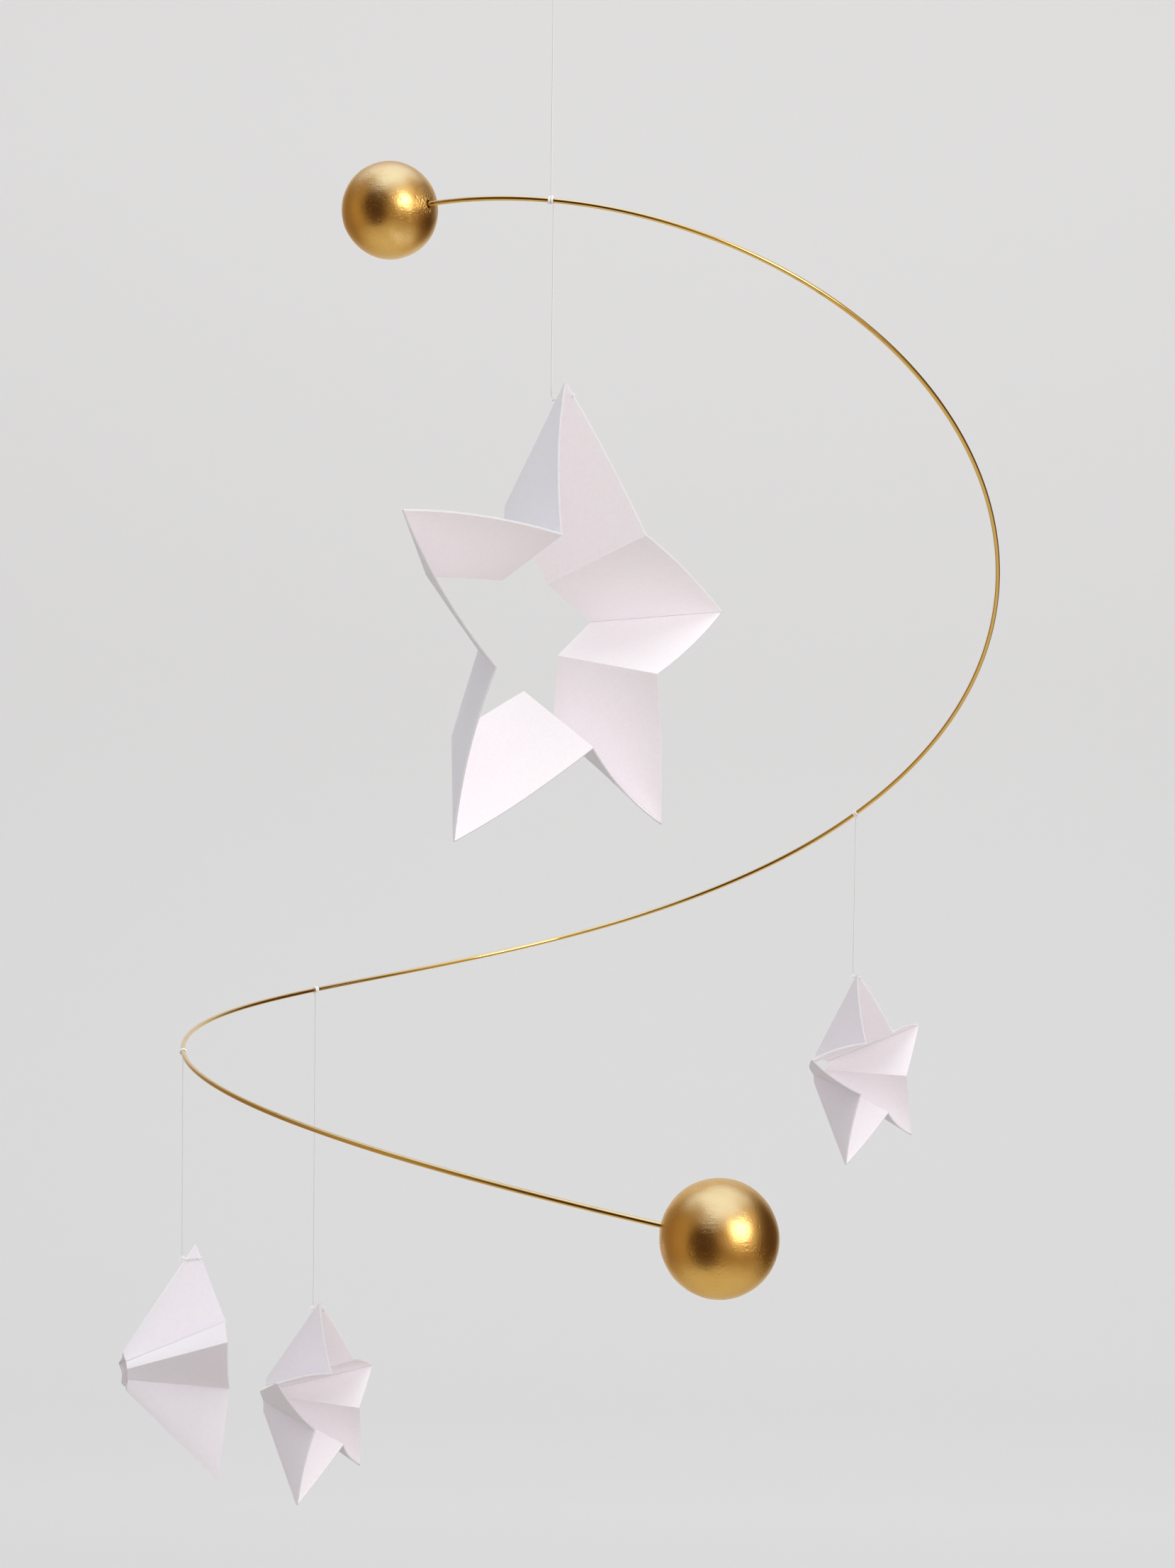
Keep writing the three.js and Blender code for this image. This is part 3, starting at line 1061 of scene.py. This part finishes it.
@dataclass
class Star:
    """A paper band cut and folded into a hollow five-pointed star.

    Attributes:
        name: The star's node.
        pattern: Its sizes.
        heading_deg: Which way its open front faces in plan, from +X.
        lift_deg: How far its open front is lifted.
        turn_deg: How far its top tip leans.
        unevenness: Share of the hand-made stray of each fold.
        knot_along_fold: How far down the top tip's back fold its knot is.
        noose_along_rim: How far down the top tip's rim the thread goes through the paper.
        noose_on_left: Whether the thread runs over the tip's left facet, not its right one.
        cut: How large it was cut.
        tie: The tie's node, or an empty name where it shares the main one.
        tie_deg: Where its tie is on the rod.
        columns, rows: How finely each facet is divided.
        rim_bow: How far the rim bows out, as a share of its length.
        crease_width: Width of the narrow strip of paper beside each fold, across which the fold's painted
            highlight fades out.
        ripple_mm: Height of the paper's soft ripple.
        fold_turns: Stray of each fold's angle, in degrees.
        fold_reaches: Stray of each fold's reach, as a factor.
        fold_advances: How far each fold comes forward, as a share of the tips' reach.
        knot_radius: Radius of the solid knot at its tip.
        gap: Space between the solid knot and the paper.
        noose_gap: Space between the thread and the paper that it lies on.
    """

    name: str
    pattern: StarPattern
    heading_deg: float
    lift_deg: float
    turn_deg: float
    unevenness: float
    knot_along_fold: float
    noose_along_rim: float
    noose_on_left: bool = False
    cut: float = 1.0
    tie: str = ""
    tie_deg: float = 0.0
    columns: int = 14
    rows: int = 12
    rim_bow: float = 0.035
    crease_width: float = 0.3 * MM
    ripple_mm: float = 0.35
    fold_turns: tuple[float, ...] = (6, -4, -6, 0.5, 4.5, 9, 2.5, -3.5, -12, 2.5)
    fold_reaches: tuple[float, ...] = (0.98, 0.94, 1.025, 1.07, 1, 1.02, 1.03, 0.96, 0.97, 1.02)
    fold_advances: tuple[float, ...] = (
        0, 0.026, 0.007, -0.04, -0.026, -0.013, 0.02, 0, -0.007, 0.02,
    )
    knot_radius: float = 0.7 * MM
    gap: float = 0.3 * MM
    noose_gap: float = 0.02 * MM

    def __post_init__(self) -> None:
        """Works out the folds, and the star's place from its knot."""
        self.folds = self.make_folds()
        self.knot_centre = middle_of(f"{self.name}_knot")
        thread_low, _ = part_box(f"{self.name}_thread")
        thread_middle = middle_of(f"{self.name}_thread")
        self.thread_end = Vector((thread_middle.x, thread_middle.y, thread_low[2]))
        top = self.folds[0]
        along = top.rear - top.front
        sideways = self.folds[1].front - self.folds[-1].front
        outward = along.cross(sideways).normalized()
        hang = top.front + along * self.knot_along_fold
        hang += outward * (self.mitre() + self.gap + self.knot_radius)
        turn = self.facing_turn()
        self.matrix = Matrix.Translation(self.knot_centre - turn @ hang) @ turn.to_matrix().to_4x4()

    def make_folds(self) -> list[Fold]:
        """Gives the ten folds, tips and notches in turn, from the top tip round to the viewer's left."""
        folds = []
        size = self.pattern
        for i in range(10):
            is_tip = i % 2 == 0
            angle = math.pi / 2 + math.pi * i / 5 + math.radians(self.fold_turns[i] * self.unevenness)
            stray = 1 + (self.fold_reaches[i] - 1) * self.unevenness
            reach = (size.tip_reach if is_tip else size.notch_reach) * stray
            advance = self.fold_advances[i] * self.unevenness * size.tip_reach
            advance -= size.tip_setback if is_tip else 0.0
            rear_reach = size.rear_tip_reach if is_tip else size.rear_notch_reach
            rear_depth = size.rear_tip_depth if is_tip else size.rear_notch_depth
            front = Vector((reach * math.cos(angle), reach * math.sin(angle), advance))
            rear_height = rear_reach * math.sin(angle) - size.rear_drop
            rear = Vector((rear_reach * math.cos(angle), rear_height, -rear_depth))
            folds.append(Fold(front * self.cut * MM, rear * self.cut * MM))
        return folds

    def facet_point(self, index: int, across: float, back: float) -> Vector:
        """Gives a point in the middle of the paper's thickness.

        Args:
            index: The facet, which starts at the fold of the same number.
            across: Share of the way to the next fold.
            back: Share of the way from the front rim to the rear.

        Returns:
            The point in the star's own frame.
        """
        a = self.folds[index]
        b = self.folds[(index + 1) % len(self.folds)]
        point = a.front.lerp(b.front, across).lerp(a.rear.lerp(b.rear, across), back)
        edge = b.front - a.front
        outward = (a.rear - a.front).cross(edge).normalized()
        bow = self.rim_bow * edge.length * 4 * across * (1 - across) * (1 - back)
        return point + outward * bow

    def facet_normal(self, index: int, across: float, back: float) -> Vector:
        """Gives the outward direction of a facet at a point.

        Args:
            index: The facet.
            across: Share of the way to the next fold.
            back: Share of the way to the rear rim.

        Returns:
            A unit vector.
        """
        step = 0.02
        sideways = self.facet_point(index, min(across + step, 1), back)
        sideways -= self.facet_point(index, max(across - step, 0), back)
        backward = self.facet_point(index, across, min(back + step, 1))
        backward -= self.facet_point(index, across, max(back - step, 0))
        return backward.cross(sideways).normalized()

    def mitre(self) -> float:
        """Gives how far the paper's outer face lies from its middle at the top tip's fold."""
        first = self.facet_normal(0, 0, self.knot_along_fold)
        last = self.facet_normal(len(self.folds) - 1, 1, self.knot_along_fold)
        return ((first + last) * (PAPER_THICKNESS / 2 / (1 + first.dot(last)))).length

    def facing_turn(self) -> Quaternion:
        """Gives the turn from the star's own frame into the mobile's."""
        forward = facing(self.heading_deg, self.lift_deg)
        right = STRAIGHT_UP.cross(forward).normalized()
        frame = Matrix((right, forward.cross(right), forward)).transposed()
        return frame.to_quaternion() @ Quaternion(STRAIGHT_UP, math.radians(self.turn_deg))

    def noose_points(self, radius: float) -> list[Vector]:
        """Gives the doubled thread's course: out along one facet, over its rim, through it and back.

        Args:
            radius: The thread's own radius.

        Returns:
            Points in the mobile's frame, closed.
        """
        index, near, far = len(self.folds) - 1, 1.0, 1 - self.noose_along_rim
        if self.noose_on_left:
            index, near, far = 0, 0.0, self.noose_along_rim
        clear = PAPER_THICKNESS / 2 + radius + self.noose_gap
        laid = []
        for share in (0.15, 0.4, 0.65, 0.85):
            across = near + (far - near) * share
            back = self.knot_along_fold * (1 - share)
            normal = self.facet_normal(index, across, back)
            laid.append(self.facet_point(index, across, back) + normal * clear)
        edge = self.facet_point(index, far, 0)
        normal = self.facet_normal(index, far, 0)
        forward = (edge - self.facet_point(index, far, 0.1)).normalized()
        beside = (laid[-1] - laid[0]).normalized().cross(normal) * radius
        over_rim = [
            edge + normal * clear * 0.8 + forward * clear * 0.6,
            edge - normal * clear * 0.4 + forward * clear,
            edge - normal * clear - forward * 0.4 * MM,
            edge - forward * 0.9 * MM,
        ]
        loop = [place + beside for place in laid] + over_rim + [place - beside for place in laid[::-1]]
        return [self.matrix @ point for point in loop] + [self.knot_centre]

    def stations(self) -> list[tuple[int, float, float]]:
        """Gives the paper's columns: the facet, the share across it, and 1 on a fold or 0 beside it."""
        stations = []
        for index, fold in enumerate(self.folds):
            beyond = self.folds[(index + 1) % len(self.folds)]
            near = self.crease_width / (beyond.front - fold.front).length
            shares = [near + (1 - 2 * near) * c / self.columns for c in range(1, self.columns)]
            stations.append((index, 0.0, 1.0))
            stations += [(index, across, 0.0) for across in (near, *shares, 1 - near)]
        return stations

    def lay(self, bm: BMesh) -> None:
        """Lays the folded band, one face thick, from its front rim back to its rear one.

        Args:
            bm: The mesh that it is added to.
        """
        stations = self.stations()
        # The crease value is 1 on each fold and 0 beside it: the mask of the painted fold highlight.
        crease_layer = bm.verts.layers.float.new("crease")
        reach = self.pattern.tip_reach * MM
        ring = bmesh.ops.create_circle(bm, cap_ends=False, segments=len(stations), radius=reach)["verts"]
        ring.sort(key=lambda v: math.atan2(v.co.y, v.co.x) % math.tau)
        edges = bm.edges[:]
        for row in range(self.rows + 1):
            if row:
                verts, edges = extruded(bm, edges)
                fresh = set(verts)
                ring = [next(e.other_vert(v) for e in v.link_edges if e.other_vert(v) in fresh) for v in ring]
            back = row / self.rows
            for vert, (index, across, crease) in zip(ring, stations):
                point = self.facet_point(index, across, back)
                ripple = noise.noise(point * 38 + Vector((self.heading_deg, 0, 0))) * self.ripple_mm * MM
                ripple *= 4 * across * (1 - across)
                vert.co = point + self.facet_normal(index, across, back) * ripple
                vert[crease_layer] = crease

    def build(self, paper: Material) -> None:
        """Cuts, folds and thickens the paper.

        Args:
            paper: The paper's material.
        """
        bm = bmesh.new()
        self.lay(bm)
        bmesh.ops.recalc_face_normals(bm, faces=bm.faces[:])
        middle = self.facet_point(0, 0.5, 0.5)
        first = min(bm.faces, key=lambda face: (face.calc_center_median() - middle).length)
        if first.normal.dot(self.facet_normal(0, 0.5, 0.5)) < 0:
            bmesh.ops.reverse_faces(bm, faces=bm.faces[:])
        bmesh.ops.transform(bm, matrix=self.matrix, verts=bm.verts[:])
        piece = scene_object(f"{self.name}_paper", bm)
        self.thicken(piece)
        settle(piece, self.name, f"{self.name}_body", paper)
        log.info("%s folded, %d faces", self.name, len(piece.data.polygons))

    def thicken(self, piece: Piece) -> None:
        """Gives the paper its thickness and softened edges, and marks its inner face.

        Args:
            piece: The paper, one face thick.
        """
        solid = piece.modifiers.new("thickness", "SOLIDIFY")
        solid.thickness = PAPER_THICKNESS
        solid.offset = 0.0
        solid.use_even_offset = True
        solid.use_rim = True
        group = piece.vertex_groups.new(name="inner_face")
        solid.shell_vertex_group = group.name
        bevel = piece.modifiers.new("worn", "BEVEL")
        bevel.width = 0.07 * MM
        bevel.segments = 2
        bevel.limit_method = "ANGLE"
        bevel.angle_limit = math.radians(50)
        bevel.harden_normals = True
        bake_modifiers(piece)
        self.mark_inside(piece)

    def mark_inside(self, piece: Piece) -> None:
        """Writes the inner side of the paper as a number at each corner point.

        Args:
            piece: The finished paper.
        """
        group = piece.vertex_groups["inner_face"].index
        values = []
        for vert in piece.data.vertices:
            weights = [g.weight for g in vert.groups if g.group == group]
            values.append(weights[0] if weights else 0.0)
        layer = piece.data.attributes.new("inside", "FLOAT", "POINT")
        layer.data.foreach_set("value", values)


def bake_modifiers(piece: Piece) -> None:
    """Applies a piece's modifiers to its mesh.

    Args:
        piece: The piece.
    """
    graph = bpy.context.evaluated_depsgraph_get()
    shown = piece.evaluated_get(graph)
    baked = bpy.data.meshes.new_from_object(shown, preserve_all_data_layers=True, depsgraph=graph)
    piece.modifiers.clear()
    piece.data = baked


@dataclass(frozen=True)
class Patch:
    """A soft round patch of the room that is darker or brighter than what lies round it.

    Attributes:
        azimuth_deg: Which way it lies, from the camera's side round to the right.
        elevation_deg: How high it lies.
        half_angle_deg: How far it reaches.
        tone: Its colour.
        depth: How much it covers at its middle, from 0 to 1.
        core: Share of its reach that is covered evenly.
    """

    azimuth_deg: float
    elevation_deg: float
    half_angle_deg: float
    tone: Tone
    depth: float = 1.0
    core: float = 0.2

    @property
    def direction(self) -> Vector:
        """The way it lies, as a unit vector."""
        return facing(self.azimuth_deg - 90, self.elevation_deg)


@dataclass(frozen=True)
class Dome:
    """The room's light, as a dome of soft tones with patches.

    Attributes:
        floor, horizon, ceiling: The tones below, level and above.
        patches: What lies over them.
        floor_edge: Height at which the floor ends and the horizon begins, from -1 to 1.
        ceiling_edge: Height at which the horizon ends and the ceiling begins.
    """

    floor: Tone
    horizon: Tone
    ceiling: Tone
    patches: tuple[Patch, ...] = ()
    floor_edge: tuple[float, float] = (-0.85, -0.1)
    ceiling_edge: tuple[float, float] = (0.3, 0.92)

    def colour(self, nodes: Nodes, direction: Socket) -> Socket:
        """Gives the dome's colour in a direction.

        Args:
            nodes: The tree that it is laid out in.
            direction: The direction.

        Returns:
            The colour.
        """
        height = nodes.add("ShaderNodeSeparateXYZ", {"Vector": direction}).outputs["Z"]
        colour = self.floor
        for (low, high), above in ((self.floor_edge, self.horizon), (self.ceiling_edge, self.ceiling)):
            colour = nodes.mixed(nodes.between(height, low, high, kind="SMOOTHSTEP"), colour, above)
        for patch in self.patches:
            towards = nodes.vector_math("DOT_PRODUCT", direction, patch.direction)
            rim = math.cos(math.radians(patch.half_angle_deg))
            middle = math.cos(math.radians(patch.half_angle_deg * patch.core))
            share = nodes.between(towards, rim, middle, 0.0, patch.depth, "SMOOTHSTEP")
            colour = nodes.mixed(share, colour, patch.tone)
        return colour


# What lights the paper and threads
SOFT_ROOM = Dome(
    Tone(0.34, 0.32, 0.31),
    Tone(0.6, 0.59, 0.59),
    Tone(0.84, 0.84, 0.86),
    (Patch(50, -25, 65, Tone(1.0, 0.97, 0.95)),),
)
# What the gold and brass mirror
MIRRORED_ROOM = Dome(
    Tone(0.62, 0.55, 0.4),
    Tone(0.3, 0.19, 0.075),
    Tone(1.02, 1.26, 2.05),
    (
        Patch(-72, 38, 36, Tone(0.32, 0.21, 0.08), 0.85),
        Patch(88, 36, 34, Tone(0.5, 0.37, 0.2), 0.7),
        Patch(42, 20, 44, Tone(0.95, 0.8, 0.55), 0.75),
        Patch(-80, 0, 40, Tone(0.5, 0.36, 0.17), 0.7),
        Patch(180, 0, 62, Tone(0.7, 0.66, 0.6)),
        Patch(-125, -5, 42, Tone(0.28, 0.18, 0.09), 0.8),
        Patch(115, 0, 50, Tone(0.07, 0.03, 0.008)),
        Patch(-34, 4, 46, Tone(0.06, 0.022, 0.005)),
        Patch(-31, -22, 34, Tone(0.06, 0.022, 0.005), 0.8),
    ),
    floor_edge=(-0.95, -0.35),
    ceiling_edge=(0.42, 0.98),
)
SEEN_BEYOND = Tone(0.68, 0.68, 0.68)


@dataclass
class Studio:
    """The pale room, its soft lights and the camera.

    Attributes:
        floor_height, floor_start: Height and near edge of the floor.
        wall_place, wall_top: Place and height of the wall.
        cove_radius, cove_steps: The bend between floor and wall.
        half_width: Half of the sheet's width.
        wall, pale_floor: The sheet's tones behind the mobile.
        near_floor, seen_near_floor: The floor's tone below the mobile, for its light and for the camera.
        aim: The place that the lights point at.
    """

    floor_height: float = -0.95
    floor_start: float = -0.9
    wall_place: float = 2.4
    wall_top: float = 3.0
    cove_radius: float = 0.7
    cove_steps: int = 12
    half_width: float = 4.0
    wall: Tone = Tone(0.93, 0.935, 0.935)
    pale_floor: Tone = Tone(0.84, 0.84, 0.835)
    near_floor: Tone = Tone(0.46, 0.43, 0.4)
    seen_near_floor: Tone = Tone(0.61, 0.61, 0.61)
    aim: tuple[float, float, float] = (0, 0, -0.25)

    def backdrop_material(self) -> Material:
        """Makes the backdrop's material, whose floor is darker below the mobile."""
        nodes = MaterialNodes("pale_backdrop")
        apart = nodes.add("ShaderNodeSeparateXYZ", {"Vector": nodes.place})
        far = nodes.between(apart.outputs["Y"], 0.3, 1.4)
        seen = nodes.add("ShaderNodeLightPath").outputs["Is Camera Ray"]
        near = nodes.mixed(seen, self.near_floor, self.seen_near_floor)
        floor = nodes.mixed(far, near, self.pale_floor)
        colour = nodes.mixed(nodes.between(apart.outputs["Z"], -0.9, 0.4), floor, self.wall)
        nodes.shade(Base_Color=colour, Roughness=0.95, Specular_IOR_Level=0.1)
        return nodes.material

    def build_backdrop(self) -> None:
        """Makes one pale sheet that runs from the floor up the wall."""
        profile = [Vector((-self.half_width, self.floor_start, self.floor_height))]
        for i in range(self.cove_steps + 1):
            angle = math.pi / 2 * i / self.cove_steps
            y = self.wall_place - self.cove_radius + self.cove_radius * math.sin(angle)
            z = self.floor_height + self.cove_radius * (1 - math.cos(angle))
            profile.append(Vector((-self.half_width, y, z)))
        profile.append(Vector((-self.half_width, self.wall_place, self.wall_top)))
        bm = bmesh.new()
        verts = [bm.verts.new(point) for point in profile]
        moved, _ = extruded(bm, [bm.edges.new(pair) for pair in zip(verts, verts[1:])])
        bmesh.ops.translate(bm, verts=moved, vec=(2 * self.half_width, 0, 0))
        sheet = scene_object("backdrop", bm)
        dress(sheet, self.backdrop_material())
        sheet.visible_glossy = False

    def build_world(self) -> None:
        """Fills the room with soft light, and gives the gold and brass a room to mirror."""
        world = bpy.data.worlds.new("room")
        bpy.context.scene.world = world
        world.use_nodes = True
        nodes = Nodes(world.node_tree)
        direction = nodes.add("ShaderNodeTexCoord").outputs["Generated"]
        ray = nodes.add("ShaderNodeLightPath")
        soft = SOFT_ROOM.colour(nodes, direction)
        mirrored = MIRRORED_ROOM.colour(nodes, direction)
        colour = nodes.mixed(ray.outputs["Is Glossy Ray"], soft, mirrored)
        colour = nodes.mixed(ray.outputs["Is Camera Ray"], colour, SEEN_BEYOND)
        background = nodes.add("ShaderNodeBackground", {"Color": colour, "Strength": 1.0})
        nodes.add("ShaderNodeOutputWorld", {"Surface": background.outputs["Background"]})
        bpy.context.scene.view_settings.view_transform = "Standard"

    def add_light(self, name: str, place: Vector, size: float, power: float, mirrored: bool) -> None:
        """Adds a soft square light.

        Args:
            name: The light's name.
            place: Where it stands.
            size: Its width in metres.
            power: Its power in watts.
            mirrored: Whether the gold and brass mirror it.
        """
        light = bpy.data.lights.new(name, "AREA")
        light.shape = "SQUARE"
        light.size = size
        light.energy = power
        lamp = bpy.data.objects.new(name, light)
        lamp.location = place
        lamp.visible_glossy = mirrored
        lamp.rotation_mode = "QUATERNION"
        lamp.rotation_quaternion = (Vector(self.aim) - place).to_track_quat("-Z", "Y")
        bpy.context.scene.collection.objects.link(lamp)

    def build_lights(self) -> None:
        """Sets a key light to the front right and a broad top light."""
        self.add_light("key", Vector((1.07, -1.25, 0.37)), size=0.85, power=9.2, mirrored=True)
        self.add_light("top", Vector((0.2, -0.3, 1.3)), size=1.4, power=9.0, mirrored=False)

    def build_camera(self) -> None:
        """Sets the camera where the photograph was taken from."""
        data = bpy.data.cameras.new("camera")
        data.sensor_fit = "AUTO"
        data.sensor_width = SENSOR_MM
        data.lens = FOCAL_PIXELS / PHOTO_HEIGHT * SENSOR_MM
        data.clip_start = 0.01
        data.clip_end = 50.0
        camera = bpy.data.objects.new("camera", data)
        bpy.context.scene.collection.objects.link(camera)
        level = Quaternion((1, 0, 0), math.radians(90 + CAMERA_PITCH_DEG))
        camera.rotation_mode = "QUATERNION"
        camera.rotation_quaternion = level @ Quaternion(STRAIGHT_UP, math.radians(CAMERA_ROLL_DEG))
        camera.location = CAMERA_PLACE
        bpy.context.scene.camera = camera

    def build(self) -> None:
        """Makes the room, the lights and the camera."""
        self.build_camera()
        self.build_backdrop()
        self.build_world()
        self.build_lights()


def the_stars() -> list[Star]:
    """Gives the large star and the three small ones."""
    return [
        Star(
            "large_star",
            LARGE_PATTERN,
            heading_deg=-43.3,
            lift_deg=-3.7,
            turn_deg=-1.0,
            unevenness=1.0,
            knot_along_fold=0.155,
            noose_along_rim=0.09,
        ),
        Star(
            "right_star",
            SMALL_PATTERN,
            heading_deg=-40.5,
            lift_deg=4.3,
            turn_deg=6.5,
            unevenness=0.2,
            knot_along_fold=0.05,
            noose_along_rim=0.06,
            cut=0.98,
            tie="right_tie",
            tie_deg=196.6,
        ),
        Star(
            "middle_star",
            SMALL_PATTERN,
            heading_deg=-22.9,
            lift_deg=0.8,
            turn_deg=0.2,
            unevenness=1.0,
            knot_along_fold=0.1,
            noose_along_rim=0.12,
            tie="middle_tie",
            tie_deg=300.0,
        ),
        Star(
            "left_star",
            SMALL_PATTERN,
            heading_deg=22.6,
            lift_deg=3.5,
            turn_deg=0.7,
            unevenness=0.8,
            knot_along_fold=0.14,
            noose_along_rim=0.17,
            noose_on_left=True,
            tie="left_tie",
            tie_deg=347.4,
        ),
    ]


def main() -> None:
    """Builds the mobile."""
    logging.basicConfig(level=logging.INFO, format="%(name)s: %(message)s")
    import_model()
    Studio().build()
    spiral = Spiral()
    Threads(TAUT_COTTON_PAINTED_SHADE.material()).build()
    Rod(spiral, PolishedBrass().material()).build()
    Ball(Side.UPPER, spiral, seed=3.1).build()
    Ball(Side.LOWER, spiral, seed=8.4).build()
    large_paper, small_paper = LARGE_PAPER.material(), SMALL_PAPER.material()
    stars = the_stars()
    for star in stars:
        star.build(large_paper if star.pattern is LARGE_PATTERN else small_paper)
    Knots(spiral, WOUND_COTTON.material()).build(stars)


if __name__ == "__main__":
    main()
